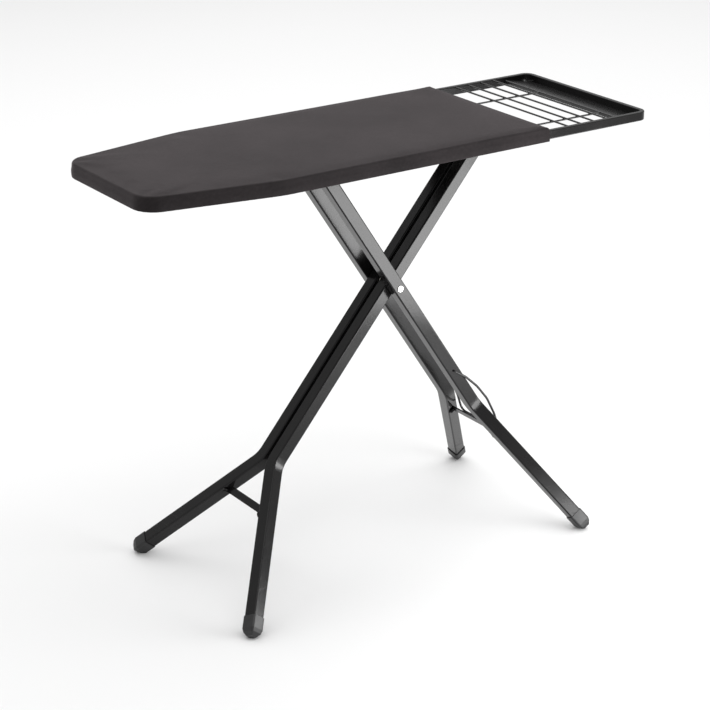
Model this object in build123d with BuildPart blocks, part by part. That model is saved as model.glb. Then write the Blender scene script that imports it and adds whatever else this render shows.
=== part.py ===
from build123d import *

import os
from math import atan, atan2, cos, degrees, radians, sin, sqrt, tan

# Ironing board with a wide deck, an open wire iron rest and two crossed pairs of
# square steel legs. +X runs from the nose to the iron rest, +Z is up, and the
# origin is on the floor under the middle of the board. Sizes are millimetres.

# ---------------------------------------------------------------- board, in plan
BOARD_LENGTH = 1182.0        # nose of the cover to the end of the iron rest
COVER_WIDTH = 406.0          # widest part of the covered deck
REST_LENGTH = 269.0          # iron rest, from the cover's end
TAPER_LENGTH = 275.0         # nose to the place where the sides become parallel
NOSE_WIDTH = 306.0           # where the tapered sides would meet the nose line
NOSE_RADIUS = 48.0
TAPER_RADIUS = 220.0         # soft kink where the taper starts
REST_CORNER_RADIUS = 22.0

# ---------------------------------------------------------------- board, upwards
RIM_TOP = 914.0              # top of the rim tube above the floor
RIM_HEIGHT = 19.0
RIM_WIDTH = 10.0
RIM_CORNER = 2.0
RIM_WALL = 1.2
DECK_THICKNESS = 0.8
PAD_THICKNESS = 6.0
COVER_THICKNESS = 1.6
COVER_SIDE_ROOM = 1.9        # slack between the cover's side and the rim
SOFT_GAP = 0.2               # between the layers of the soft top
COVER_DROP = 4.4             # how far the cover hangs below the rim
HEM_WIDTH = 26.0             # cover turned in under the rim
HEM_TAPE_WIDTH = 10.0
HEM_TAPE_THICKNESS = 0.8
COVER_EDGE_RADIUS = 5.0
DECK_HOLE = 14.0
DECK_HOLE_PITCH = 42.0
DECK_HOLE_MARGIN = 34.0      # plain border of the perforated sheet

# ---------------------------------------------------------------- iron rest
JOINT_COVER = 10.0           # rim joint, hidden this far inside the cover's end
JOINER_LENGTH = 60.0
JOINER_ROOM = 0.15
REAR_BAR_WIDTH = 9.0
REST_WIRE = 4.0
REST_WIRE_DROP = 3.0         # middle of the cross wires below the rim's top
REST_WIRE_COUNT = 4
REST_WIRE_PITCH = 34.5
REST_FIRST_WIRE = 59.5       # first cross wire from the cover's end
REST_LONG_WIRES_Y = (67.0, -133.0)
HEEL_PLATE_WIDTH = 66.0
HEEL_PLATE_THICKNESS = 1.5
HEEL_LIP = 7.0
HEEL_HIGH_DROP = 6.0         # heel plate's inner edge below the rim's top
HEEL_LOW_DROP = 16.0         # and its outer edge

# ---------------------------------------------------------------- leg geometry
PIVOT_X = 54.0               # crossing of the legs
PIVOT_Z = 588.0
HINGE_Z = 877.0              # hinge of the inner pair and slider of the outer pair
OUTER_ANGLE = 56.5           # outer pair above the floor, nose side up
INNER_ANGLE = 49.8           # inner pair above the floor, rest side up
OUTER_BEND = 372.0           # pivot to the splay bend, along the leg
INNER_BEND = 444.0
OUTER_FOOT_X = 379.0         # foot from the pivot, along X
INNER_FOOT_X = -476.0
FOOT_HALF_SPAN = 227.0       # feet from the middle plane
TUBE = 28.0                  # square leg tube
TUBE_WALL = 1.0
TUBE_CORNER = 3.0
SPLAY_RADIUS = 60.0
TUBE_PAST_SHAFT = 10.0       # tube past the middle of its top shaft
INNER_GAP = 9.0              # between the two inner tubes
PAIR_GAP = 1.5               # between an inner and an outer tube
FOLD_LOW_ANGLE = 4.5         # inner pair's angle when folded
FOLD_RATIO = 1.15            # outer pair's turn for one degree of the inner pair

# ---------------------------------------------------------------- small hardware
SHAFT = 10.0
SHAFT_ROOM = 0.1             # running fit, on the radius
PRESS_ROOM = 0.02            # holes that grip a shaft or a rivet
PIVOT_TUBE = 8.0
PIVOT_BORE = 4.6
PIVOT_HEAD = 14.0
PIVOT_HEAD_THICKNESS = 1.5
PIVOT_WASHER = 22.0
FACE_ROOM = 0.1              # between faces that slide on each other
SPACER_WALL = 3.0
ROLLER = 12.0
SLOT_ROOM = 3.6              # slider play above and below, for the whole fold
RACK_THICKNESS = 2.5
RACK_SIDE_GAP = 3.0          # outer tube to the rack plate
RACK_BELOW = 14.5            # rack plate below the middle of its slot
RACK_FLANGE = 12.0
RACK_END = 22.0              # plate past the slot's ends
NOTCH = 13.0
NOTCH_RISE = 5.0
NOTCH_COUNT = 7
NOTCH_PITCH = 22.0
ROD_PAST_RACK = 9.0
CLIP = 16.0
CLIP_THICKNESS = 1.6
CROSS_BAR_WIDTH = 30.0
CROSS_BAR_HEIGHT = 12.0
CROSS_BAR_WALL = 1.5
BRACKET_THICKNESS = 3.0
BRACKET_WIDTH = 26.0
BRACKET_BELOW = 9.0
BRACKET_FLANGE = 14.0
RIVET = 5.0
RIVET_HEAD = 9.0
RIVET_HEAD_THICKNESS = 1.8
OUTER_BRACE_DROP = 0.243     # middle of the brace along the splayed part of the leg
INNER_BRACE_DROP = 0.307
BRACE_HEIGHT = 16.0
BRACE_THICKNESS = 3.0
BRACE_TAB = 15.0             # ends of the bar, turned up along the legs' faces
BRACE_ROOM = 0.5
CAP_WALL = 1.8
CAP_SLEEVE = 26.0
CAP_ROOM = 0.1
CAP_SOLE = 4.0               # leg tube's end to the end of the leg's middle line
CAP_DOME = 15.0
CAP_SHOULDER = 0.86          # cap's width halfway down the dome and at its end
CAP_TIP = 0.5
PLUG_DEPTH = 16.0
PLUG_HEAD = 2.5
PLUG_ROOM = 0.1
BAIL_WIRE = 5.0
BAIL_PIVOT = 258.0           # pivot to the bail's hinge, along the outer leg
BAIL_REACH = 206.0           # bail's hinge to its cross piece
BAIL_RISE = 28.0             # top of the bow above the leg's middle
BAIL_SIDE_GAP = 1.5
BAIL_BEND = 14.0
BAIL_BOW = 70.0
BAIL_EYE_BEND = 3.6
LEVER_PIVOT_Y = 97.0
LEVER_PIVOT_DROP = 24.0      # lever pin below the rack bar
LEVER_WIDTH = 14.0
LEVER_THICKNESS = 4.0
LEVER_FINGER = 21.0          # pin to the finger, inwards
LEVER_ARM = 78.0             # pin to the end of the grip, outwards
LEVER_PIN = 5.0
LEVER_BOSS = 11.0
EAR_THICKNESS = 2.0
EAR_GAP = 0.4
GRIP_LENGTH = 46.0
GRIP_WALL = 3.0
SPRING_THICKNESS = 0.8
SPRING_GAP = 0.3
LEVER_TRAVEL = 6.0           # degrees
PIECE_GAP = 0.3              # plain air gap between pieces that only pass by

# ---------------------------------------------------------------- worked out
NOSE_X = -BOARD_LENGTH / 2
REST_X = BOARD_LENGTH / 2
COVER_END_X = REST_X - REST_LENGTH
COVER_HALF = COVER_WIDTH / 2
RIM_INSET = COVER_THICKNESS + COVER_SIDE_ROOM
RIM_OUTER = COVER_HALF - RIM_INSET
RIM_INNER = RIM_OUTER - RIM_WIDTH
RIM_BOTTOM = RIM_TOP - RIM_HEIGHT
DECK_TOP = RIM_TOP + DECK_THICKNESS
PAD_TOP = DECK_TOP + SOFT_GAP + PAD_THICKNESS
COVER_TOP = PAD_TOP + SOFT_GAP + COVER_THICKNESS
COVER_BOTTOM = RIM_BOTTOM - COVER_DROP
JOINT_X = COVER_END_X - JOINT_COVER
BAR_BOTTOM = RIM_TOP - CROSS_BAR_HEIGHT
INNER_ARM = (HINGE_Z - PIVOT_Z) / sin(radians(INNER_ANGLE))
OUTER_ARM = (HINGE_Z - PIVOT_Z) / sin(radians(OUTER_ANGLE))
HINGE_X = PIVOT_X + INNER_ARM * cos(radians(INNER_ANGLE))
SLIDER_X = PIVOT_X - OUTER_ARM * cos(radians(OUTER_ANGLE))
OUTER_LOW_ANGLE = OUTER_ANGLE - FOLD_RATIO * (INNER_ANGLE - FOLD_LOW_ANGLE)
FOLDED_PIVOT_X = HINGE_X - INNER_ARM * cos(radians(FOLD_LOW_ANGLE))
SLIDER_FOLDED_X = FOLDED_PIVOT_X - OUTER_ARM * cos(radians(OUTER_LOW_ANGLE))
INNER_MIDDLE = (INNER_GAP + TUBE) / 2
OUTER_MIDDLE = INNER_GAP / 2 + TUBE + PAIR_GAP + TUBE / 2
OUTER_FACE = OUTER_MIDDLE + TUBE / 2
INNER_FACE = INNER_MIDDLE + TUBE / 2
RACK_Y = OUTER_FACE + RACK_SIDE_GAP
SLOT_HALF = ROLLER / 2 + SLOT_ROOM
FOOT_LIFT = TUBE / 2 - 1        # end of the leg's middle line above the floor
TAB_RIVET = BRACE_TAB - (BRACE_HEIGHT + BRACE_THICKNESS) / 2
SIDES = {"left": 1, "right": -1}   # seen from the rest end, looking at the nose

os.makedirs("parts", exist_ok=True)
nodes = []


def save(piece, label):
    """Label a finished piece and write it as its own node."""
    piece.part.label = label
    export_step(piece.part, f"parts/{label}.step")
    nodes.append(label)


def along(angle, distance, lift=0.0, rest_side=1):
    """Point in the XZ plane at a distance down a leg from the crossing.

    rest_side is 1 for the outer pair, whose feet are on the rest side, and -1
    for the inner pair. lift is measured at right angles, upwards.
    """
    a = radians(angle)
    x = PIVOT_X + rest_side * (distance * cos(a) + lift * sin(a))
    return x, PIVOT_Z - distance * sin(a) + lift * cos(a)


def outline_points(inset):
    """Corners of the board's side from parallel part to nose, shrunk by inset."""
    slope = (COVER_WIDTH - NOSE_WIDTH) / 2 / TAPER_LENGTH
    lean = sqrt(1 + slope ** 2)
    kink_x = NOSE_X + TAPER_LENGTH + inset * (lean - 1) / slope
    front_y = NOSE_WIDTH / 2 - inset * lean + slope * inset
    return (kink_x, COVER_HALF - inset), (NOSE_X + inset, front_y)


def half_width(x, inset):
    """Half of the board's width at x, shrunk by inset."""
    (kink_x, side_y), (front_x, front_y) = outline_points(inset)
    if x >= kink_x:
        return side_y
    return front_y + (side_y - front_y) * (x - front_x) / (kink_x - front_x)


def rim_line(inset, rear_x):
    """Open line round the nose, from one rear end to the other."""
    (kink_x, side_y), (front_x, front_y) = outline_points(inset)
    points = [
        (rear_x, -side_y), (kink_x, -side_y), (front_x, -front_y),
        (front_x, front_y), (kink_x, side_y), (rear_x, side_y),
    ]
    nose = NOSE_RADIUS - inset
    return FilletPolyline(*points, radius=[TAPER_RADIUS, nose, nose, TAPER_RADIUS])


def board_face(inset, rear_x):
    """Face of the board's plan, shrunk by inset and square at rear_x."""
    with BuildSketch() as plan:
        with BuildLine():
            edge = rim_line(inset, rear_x)
            Line(edge @ 1, edge @ 0)
        make_face()
    return plan.sketch


def tube_section(width, height, corner, wall):
    """Hollow section with rounded corners."""
    RectangleRounded(width, height, corner)
    RectangleRounded(width - 2 * wall, height - 2 * wall, corner - wall + 0.2,
                     mode=Mode.SUBTRACT)


def cross_hole(x, z, diameter):
    """Cut a hole along Y right through."""
    with Locations(Location((x, 0, z), (90, 0, 0))):
        Cylinder(diameter / 2, 2 * COVER_WIDTH, mode=Mode.SUBTRACT)


def cross_rod(x, z, diameter, y_low, y_high, mode=Mode.ADD):
    """Round bar along Y between two places."""
    with Locations(Location((x, (y_low + y_high) / 2, z), (90, 0, 0))):
        Cylinder(diameter / 2, y_high - y_low, mode=mode)


# ================================================================ deck and cover
def make_deck():
    """Rim tube, perforated sheet, pad and fabric cover."""
    tube_middle = RIM_INSET + RIM_WIDTH / 2
    with BuildPart() as deck_rim:
        with BuildLine(Plane.XY.offset(RIM_TOP - RIM_HEIGHT / 2)) as rim_path:
            rim_line(tube_middle, JOINT_X)
        with BuildSketch(Plane(rim_path.line @ 0, x_dir=(0, 1, 0), z_dir=(-1, 0, 0))):
            tube_section(RIM_WIDTH, RIM_HEIGHT, RIM_CORNER, RIM_WALL)
        sweep(path=rim_path.wire())
    save(deck_rim, "deck_rim")

    pitch_y = DECK_HOLE_PITCH * sqrt(3) / 2
    with BuildPart() as deck_sheet:
        with BuildSketch(Plane.XY.offset(RIM_TOP)):
            add(board_face(RIM_INSET, JOINT_X))
            with Locations(*sheet_holes(DECK_HOLE_PITCH, pitch_y)):
                Circle(DECK_HOLE / 2, mode=Mode.SUBTRACT)
        extrude(amount=DECK_THICKNESS)
    save(deck_sheet, "deck_sheet")

    with BuildPart() as felt_pad:
        with BuildSketch(Plane.XY.offset(DECK_TOP + SOFT_GAP)):
            add(board_face(RIM_INSET, JOINT_X))
        extrude(amount=PAD_THICKNESS)
        fillet(felt_pad.faces().sort_by(Axis.Z)[-1].edges(), COVER_EDGE_RADIUS - SOFT_GAP)
    save(felt_pad, "felt_pad")

    with BuildPart() as cover:
        with BuildSketch(Plane.XY.offset(COVER_BOTTOM)):
            add(board_face(0, COVER_END_X))
        extrude(amount=COVER_TOP - COVER_BOTTOM)
        fillet(cover.faces().sort_by(Axis.Z)[-1].edges(), COVER_EDGE_RADIUS)
        with BuildSketch(Plane.XY.offset(COVER_BOTTOM + COVER_THICKNESS)):
            add(board_face(COVER_THICKNESS, COVER_END_X - COVER_THICKNESS))
        extrude(amount=COVER_TOP - COVER_BOTTOM - 2 * COVER_THICKNESS, mode=Mode.SUBTRACT)
        with BuildSketch(Plane.XY.offset(COVER_BOTTOM)):
            add(board_face(HEM_WIDTH, COVER_END_X - COVER_THICKNESS))
        extrude(amount=COVER_THICKNESS, mode=Mode.SUBTRACT)
        # the rear edge hangs down only as far as the wires of the iron rest
        rear_drop = RIM_TOP - REST_WIRE_DROP - REST_WIRE / 2 + PIECE_GAP
        with BuildSketch(Plane.XY.offset(COVER_BOTTOM)):
            with Locations((COVER_END_X, 0)):
                Rectangle(4 * COVER_THICKNESS, 2 * COVER_WIDTH)
        extrude(amount=rear_drop - COVER_BOTTOM, mode=Mode.SUBTRACT)
        for side in SIDES.values():
            with BuildSketch(Plane.XY.offset(COVER_BOTTOM)):
                with Locations((COVER_END_X, side * (RIM_OUTER - RIM_WIDTH / 2))):
                    Rectangle(4 * COVER_THICKNESS, RIM_WIDTH + 2 * PIECE_GAP)
            extrude(amount=RIM_TOP + PIECE_GAP - COVER_BOTTOM, mode=Mode.SUBTRACT)
    save(cover, "cover")

    tape_top = COVER_BOTTOM + COVER_THICKNESS + HEM_TAPE_THICKNESS
    with BuildPart() as hem_tape:
        with BuildSketch(Plane.XY.offset(tape_top - HEM_TAPE_THICKNESS)):
            add(board_face(HEM_WIDTH - HEM_TAPE_WIDTH, JOINT_X))
            add(board_face(HEM_WIDTH - SOFT_GAP, JOINT_X), mode=Mode.SUBTRACT)
        extrude(amount=HEM_TAPE_THICKNESS)
    save(hem_tape, "hem_tape")


def sheet_holes(pitch_x, pitch_y):
    """Middles of the sheet's holes, in staggered rows, inside its plain border."""
    places = []
    rows = int(COVER_HALF / pitch_y)
    columns = int(BOARD_LENGTH / pitch_x)
    rear_x = JOINT_X - DECK_HOLE_MARGIN
    for row in range(-rows, rows + 1):
        shift = pitch_x / 2 if row % 2 else 0.0
        for column in range(columns):
            x = rear_x - shift - column * pitch_x
            inside = abs(row * pitch_y) < half_width(x, DECK_HOLE_MARGIN)
            if inside and x > NOSE_X + DECK_HOLE_MARGIN:
                places.append((x, row * pitch_y))
    return places


# ================================================================ iron rest
def make_iron_rest():
    """U tube, its joiners, the wire grid and the heel plate."""
    middle_z = RIM_TOP - RIM_HEIGHT / 2
    side_y = RIM_OUTER - RIM_WIDTH / 2
    end_x = REST_X - RIM_WIDTH / 2
    with BuildPart() as rest_frame:
        with BuildLine(Plane.XY.offset(middle_z)) as rest_path:
            FilletPolyline((JOINT_X, -side_y), (end_x, -side_y), (end_x, side_y),
                           (JOINT_X, side_y), radius=REST_CORNER_RADIUS - RIM_WIDTH / 2)
        with BuildSketch(Plane(rest_path.line @ 0, x_dir=(0, 1, 0), z_dir=(1, 0, 0))):
            tube_section(RIM_WIDTH, RIM_HEIGHT, RIM_CORNER, RIM_WALL)
        sweep(path=rest_path.wire())
    save(rest_frame, "rest_frame")

    bore_width = RIM_WIDTH - 2 * (RIM_WALL + JOINER_ROOM)
    bore_height = RIM_HEIGHT - 2 * (RIM_WALL + JOINER_ROOM)
    with BuildPart() as rest_joiners:
        for side in SIDES.values():
            start = (JOINT_X - JOINER_LENGTH / 2, side * side_y, middle_z)
            with BuildSketch(Plane(start, x_dir=(0, 1, 0), z_dir=(1, 0, 0))):
                RectangleRounded(bore_width, bore_height, RIM_CORNER - RIM_WALL + 0.3)
            extrude(amount=JOINER_LENGTH)
    save(rest_joiners, "rest_joiners")

    bar_start = JOINT_X - REAR_BAR_WIDTH
    with BuildPart() as rear_bar:
        with BuildSketch(Plane((bar_start + REAR_BAR_WIDTH / 2, -RIM_INNER, middle_z),
                               x_dir=(1, 0, 0), z_dir=(0, 1, 0))):
            tube_section(REAR_BAR_WIDTH, RIM_HEIGHT, RIM_CORNER, RIM_WALL)
        extrude(amount=2 * RIM_INNER)
    save(rear_bar, "rear_bar")

    wire_z = RIM_TOP - REST_WIRE_DROP
    with BuildPart() as rest_cross_wires:
        for number in range(REST_WIRE_COUNT):
            x = COVER_END_X + REST_FIRST_WIRE + number * REST_WIRE_PITCH
            cross_rod(x, wire_z, REST_WIRE, -RIM_INNER, RIM_INNER)
    save(rest_cross_wires, "rest_cross_wires")

    plate_x = REST_X - RIM_WIDTH - HEEL_PLATE_WIDTH
    with BuildPart() as rest_long_wires:
        for wire_y in REST_LONG_WIRES_Y:
            start = (JOINT_X, wire_y, wire_z - REST_WIRE)
            with BuildSketch(Plane(start, x_dir=(0, 1, 0), z_dir=(1, 0, 0))):
                Circle(REST_WIRE / 2)
            extrude(amount=plate_x - PIECE_GAP - JOINT_X)
    save(rest_long_wires, "rest_long_wires")

    # a bent sheet between the side tubes: a lip, a sloping face and a flat end
    corner = REST_CORNER_RADIUS - RIM_WIDTH
    high_z = RIM_TOP - HEEL_HIGH_DROP
    low_z = RIM_TOP - HEEL_LOW_DROP
    half = HEEL_PLATE_THICKNESS / 2
    with BuildPart() as heel_plate:
        with BuildSketch(Plane((0, RIM_INNER, 0), x_dir=(1, 0, 0), z_dir=(0, -1, 0))):
            with BuildLine():
                FilletPolyline((plate_x + half, high_z - HEEL_LIP), (plate_x + half, high_z),
                               (REST_X - RIM_WIDTH - corner, low_z),
                               (REST_X - RIM_WIDTH, low_z), radius=HEEL_PLATE_THICKNESS)
            trace(line_width=HEEL_PLATE_THICKNESS)
        extrude(amount=2 * RIM_INNER)
        with BuildSketch(Plane.XY.offset(RIM_BOTTOM)):
            for side in SIDES.values():
                with Locations((REST_X - RIM_WIDTH, side * RIM_INNER)):
                    Rectangle(2 * corner, 2 * corner)
        extrude(amount=RIM_HEIGHT, mode=Mode.SUBTRACT)
    save(heel_plate, "heel_plate")


# ================================================================ under the deck
def bar_half(x):
    """Half length of a cross bar that fits between the rim's sides at x."""
    return half_width(x - CROSS_BAR_WIDTH / 2, RIM_INSET + RIM_WIDTH) - PIECE_GAP


def make_cross_bar(label, x):
    """Channel across the deck's underside, open side up against the sheet."""
    with BuildPart() as bar:
        with BuildSketch(Plane((x, -bar_half(x), RIM_TOP - CROSS_BAR_HEIGHT / 2),
                               x_dir=(1, 0, 0), z_dir=(0, 1, 0))):
            Rectangle(CROSS_BAR_WIDTH, CROSS_BAR_HEIGHT)
            with Locations((0, -CROSS_BAR_WALL)):
                Rectangle(CROSS_BAR_WIDTH - 2 * CROSS_BAR_WALL, CROSS_BAR_HEIGHT,
                          mode=Mode.SUBTRACT)
        extrude(amount=2 * bar_half(x))
        for side in SIDES.values():
            for hole_y in bar_rivet_places(label):
                with Locations((x, side * hole_y, BAR_BOTTOM)):
                    Cylinder(RIVET / 2 + PRESS_ROOM, 4 * CROSS_BAR_WALL, mode=Mode.SUBTRACT)
    save(bar, label)


def bar_rivet_places(label):
    """Distances from the middle plane of the rivets in one cross bar."""
    if label == "hinge_bar":
        return [INNER_FACE + PAIR_GAP + BRACKET_THICKNESS + BRACKET_FLANGE * 0.6]
    return [RACK_Y + RACK_THICKNESS + RACK_FLANGE / 2]


def make_rack(label, side):
    """Height rack: a hanging plate with a long slot and a row of notches above it."""
    low_x = SLIDER_FOLDED_X - SLOT_HALF - RACK_END
    high_x = SLIDER_X + SLOT_HALF + RACK_END
    inner_y = RACK_Y if side > 0 else -RACK_Y - RACK_THICKNESS
    middle_x = (low_x + high_x) / 2
    bottom = HINGE_Z - RACK_BELOW
    with BuildPart() as rack:
        with BuildSketch(Plane((0, inner_y, 0), x_dir=(1, 0, 0), z_dir=(0, -1, 0))):
            with Locations((middle_x, (bottom + BAR_BOTTOM) / 2)):
                Rectangle(high_x - low_x, BAR_BOTTOM - bottom)
            with Locations(((SLIDER_X + SLIDER_FOLDED_X) / 2, HINGE_Z)):
                SlotCenterToCenter(SLIDER_X - SLIDER_FOLDED_X, 2 * SLOT_HALF,
                                   mode=Mode.SUBTRACT)
            for number in range(NOTCH_COUNT):
                notch_z = HINGE_Z + SLOT_HALF + NOTCH_RISE - NOTCH / 2
                with Locations((SLIDER_X - number * NOTCH_PITCH, notch_z)):
                    Circle(NOTCH / 2, mode=Mode.SUBTRACT)
        extrude(amount=-RACK_THICKNESS)
        flange_y = side * (RACK_Y + RACK_THICKNESS + RACK_FLANGE / 2)
        with BuildSketch(Plane.XY.offset(BAR_BOTTOM)):
            with Locations((middle_x, flange_y)):
                Rectangle(high_x - low_x, RACK_FLANGE)
            with Locations((SLIDER_X, flange_y), (RACK_FRONT_X, flange_y)):
                Circle(RIVET / 2 + PRESS_ROOM, mode=Mode.SUBTRACT)
        extrude(amount=-RACK_THICKNESS)
    save(rack, label)


RACK_FRONT_X = SLIDER_FOLDED_X - SLOT_HALF - RACK_END + CROSS_BAR_WIDTH / 2


def make_hinge_bracket(label, side):
    """Angle bracket that carries one end of the inner pair's hinge shaft."""
    face_y = side * (INNER_FACE + PAIR_GAP)
    top_x = HINGE_X - BRACKET_WIDTH / 2
    bottom = HINGE_Z - BRACKET_BELOW
    flange_middle = side * (INNER_FACE + PAIR_GAP + BRACKET_THICKNESS + BRACKET_FLANGE / 2)
    rivet_y = side * bar_rivet_places("hinge_bar")[0]
    with BuildPart() as bracket:
        with BuildSketch(Plane((0, face_y, 0), x_dir=(1, 0, 0), z_dir=(0, -1, 0))):
            with Locations((HINGE_BAR_X, (BAR_BOTTOM + HINGE_Z) / 2)):
                Rectangle(BRACKET_WIDTH, BAR_BOTTOM - HINGE_Z)
            with Locations((HINGE_X, HINGE_Z)):
                Circle(BRACKET_BELOW)
            with BuildLine():
                Polyline((HINGE_X + BRACKET_BELOW, HINGE_Z),
                         (HINGE_BAR_X + BRACKET_WIDTH / 2, BAR_BOTTOM),
                         (HINGE_BAR_X - BRACKET_WIDTH / 2, BAR_BOTTOM),
                         (HINGE_X - BRACKET_BELOW, HINGE_Z), close=True)
            make_face()
            with Locations((HINGE_X, HINGE_Z)):
                Circle(SHAFT / 2 + SHAFT_ROOM, mode=Mode.SUBTRACT)
        extrude(amount=-side * BRACKET_THICKNESS)
        with BuildSketch(Plane.XY.offset(BAR_BOTTOM)):
            with Locations((HINGE_BAR_X, flange_middle)):
                Rectangle(BRACKET_WIDTH, BRACKET_FLANGE)
            with Locations((HINGE_BAR_X, rivet_y)):
                Circle(RIVET / 2 + PRESS_ROOM, mode=Mode.SUBTRACT)
        extrude(amount=-BRACKET_THICKNESS)
    save(bracket, label)


HINGE_BAR_X = JOINT_X - REAR_BAR_WIDTH - PIECE_GAP - CROSS_BAR_WIDTH / 2


def make_bar_rivets():
    """Short rivets that hold the racks and brackets to the cross bars."""
    with BuildPart() as rivets:
        for label, x, plate in (
            ("hinge_bar", HINGE_BAR_X, BRACKET_THICKNESS),
            ("rack_bar", SLIDER_X, RACK_THICKNESS),
            ("front_bar", RACK_FRONT_X, RACK_THICKNESS),
        ):
            for side in SIDES.values():
                place = (x, side * bar_rivet_places(label)[0], BAR_BOTTOM - plate)
                with BuildSketch(Plane(place, x_dir=(1, 0, 0), z_dir=(0, 0, 1))):
                    Circle(RIVET / 2)
                extrude(amount=plate + CROSS_BAR_WALL)
                with BuildSketch(Plane(place, x_dir=(1, 0, 0), z_dir=(0, 0, -1))):
                    Circle(RIVET_HEAD / 2)
                extrude(amount=RIVET_HEAD_THICKNESS, taper=30)
                top = (x, side * bar_rivet_places(label)[0], BAR_BOTTOM + CROSS_BAR_WALL)
                with BuildSketch(Plane(top, x_dir=(1, 0, 0), z_dir=(0, 0, 1))):
                    Circle(RIVET_HEAD / 2)
                extrude(amount=RIVET_HEAD_THICKNESS, taper=30)
    save(rivets, "bar_rivets")


# ================================================================ release lever
LEVER_PIVOT_Z = BAR_BOTTOM - LEVER_PIVOT_DROP


def make_lever():
    """Lever on the left that presses the slider rod out of its notch."""
    ear_x = LEVER_WIDTH / 2 + EAR_GAP
    with BuildPart() as lever_bracket:
        for way in (1, -1):
            start = (SLIDER_X + way * ear_x, 0, 0)
            with BuildSketch(Plane(start, x_dir=(0, 1, 0), z_dir=(1, 0, 0))):
                with Locations((LEVER_PIVOT_Y, (BAR_BOTTOM + LEVER_PIVOT_Z) / 2)):
                    Rectangle(LEVER_BOSS, BAR_BOTTOM - LEVER_PIVOT_Z)
                with Locations((LEVER_PIVOT_Y, LEVER_PIVOT_Z)):
                    Circle(LEVER_BOSS / 2)
                    Circle(LEVER_PIN / 2 + PRESS_ROOM, mode=Mode.SUBTRACT)
            extrude(amount=way * EAR_THICKNESS)
        with BuildSketch(Plane.XY.offset(BAR_BOTTOM)):
            with Locations((SLIDER_X, LEVER_PIVOT_Y)):
                Rectangle(2 * (ear_x + EAR_THICKNESS), LEVER_BOSS)
        extrude(amount=-EAR_THICKNESS)
    save(lever_bracket, "lever_bracket")

    with BuildPart() as lever_pin:
        start = (SLIDER_X - ear_x - EAR_THICKNESS - 1, LEVER_PIVOT_Y, LEVER_PIVOT_Z)
        with BuildSketch(Plane(start, x_dir=(0, 1, 0), z_dir=(1, 0, 0))):
            Circle(LEVER_PIN / 2)
        extrude(amount=2 * (ear_x + EAR_THICKNESS + 1))
        chamfer(lever_pin.edges(), 0.5)
    save(lever_pin, "lever_pin")

    finger_z = HINGE_Z + SHAFT / 2 + SLOT_ROOM
    arm_end = LEVER_PIVOT_Y + LEVER_ARM
    half = LEVER_THICKNESS / 2
    with BuildPart() as release_lever:
        start = (SLIDER_X - LEVER_WIDTH / 2, 0, 0)
        with BuildSketch(Plane(start, x_dir=(0, 1, 0), z_dir=(1, 0, 0))):
            with Locations((LEVER_PIVOT_Y, LEVER_PIVOT_Z)):
                Circle(LEVER_BOSS / 2)
            with BuildLine():
                Polyline((LEVER_PIVOT_Y, LEVER_PIVOT_Z - half),
                         (arm_end - CAP_WALL, LEVER_PIVOT_Z - half),
                         (arm_end - CAP_WALL, LEVER_PIVOT_Z + half),
                         (LEVER_PIVOT_Y, LEVER_PIVOT_Z + half), close=True)
            make_face()
            with BuildLine():
                finger_y = LEVER_PIVOT_Y - LEVER_FINGER
                Polyline((LEVER_PIVOT_Y, LEVER_PIVOT_Z + LEVER_BOSS / 2),
                         (finger_y - half, finger_z + LEVER_THICKNESS),
                         (finger_y - half, finger_z),
                         (finger_y + half, finger_z),
                         (LEVER_PIVOT_Y, LEVER_PIVOT_Z), close=True)
            make_face()
            with Locations((LEVER_PIVOT_Y, LEVER_PIVOT_Z)):
                Circle(LEVER_PIN / 2 + SHAFT_ROOM, mode=Mode.SUBTRACT)
        extrude(amount=LEVER_WIDTH)
    save(release_lever, "release_lever")

    grip_start = arm_end - GRIP_LENGTH
    with BuildPart() as lever_grip:
        with BuildSketch(Plane((SLIDER_X, grip_start, LEVER_PIVOT_Z),
                               x_dir=(1, 0, 0), z_dir=(0, 1, 0))):
            RectangleRounded(LEVER_WIDTH + 2 * GRIP_WALL, LEVER_THICKNESS + 2 * GRIP_WALL,
                             GRIP_WALL)
        extrude(amount=GRIP_LENGTH)
        fillet(lever_grip.faces().sort_by(Axis.Y)[-1].edges(), GRIP_WALL / 2)
        with BuildSketch(Plane((SLIDER_X, grip_start, LEVER_PIVOT_Z),
                               x_dir=(1, 0, 0), z_dir=(0, 1, 0))):
            Rectangle(LEVER_WIDTH + PRESS_ROOM, LEVER_THICKNESS + PRESS_ROOM)
        extrude(amount=GRIP_LENGTH - CAP_WALL + PRESS_ROOM, mode=Mode.SUBTRACT)
    save(lever_grip, "lever_grip")

    # a leaf under the cross bar that keeps the arm down, clear of it by the travel
    rise = tan(radians(LEVER_TRAVEL)) * LEVER_ARM * 0.5
    leaf_low = LEVER_PIVOT_Z + half + rise + SPRING_GAP
    leaf_start = LEVER_PIVOT_Y + LEVER_BOSS / 2 + 2
    with BuildPart() as lever_spring:
        start = (SLIDER_X - LEVER_WIDTH / 2 + 2, 0, 0)
        with BuildSketch(Plane(start, x_dir=(0, 1, 0), z_dir=(1, 0, 0))):
            with BuildLine() as leaf:
                FilletPolyline((leaf_start, BAR_BOTTOM - SPRING_THICKNESS / 2),
                               (leaf_start + 7, BAR_BOTTOM - SPRING_THICKNESS / 2),
                               (leaf_start + 16, leaf_low + SPRING_THICKNESS / 2),
                               (leaf_start + 22, leaf_low + SPRING_THICKNESS / 2), radius=3)
            trace(line_width=SPRING_THICKNESS)
        extrude(amount=LEVER_WIDTH - 4)
    save(lever_spring, "lever_spring")


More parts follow.
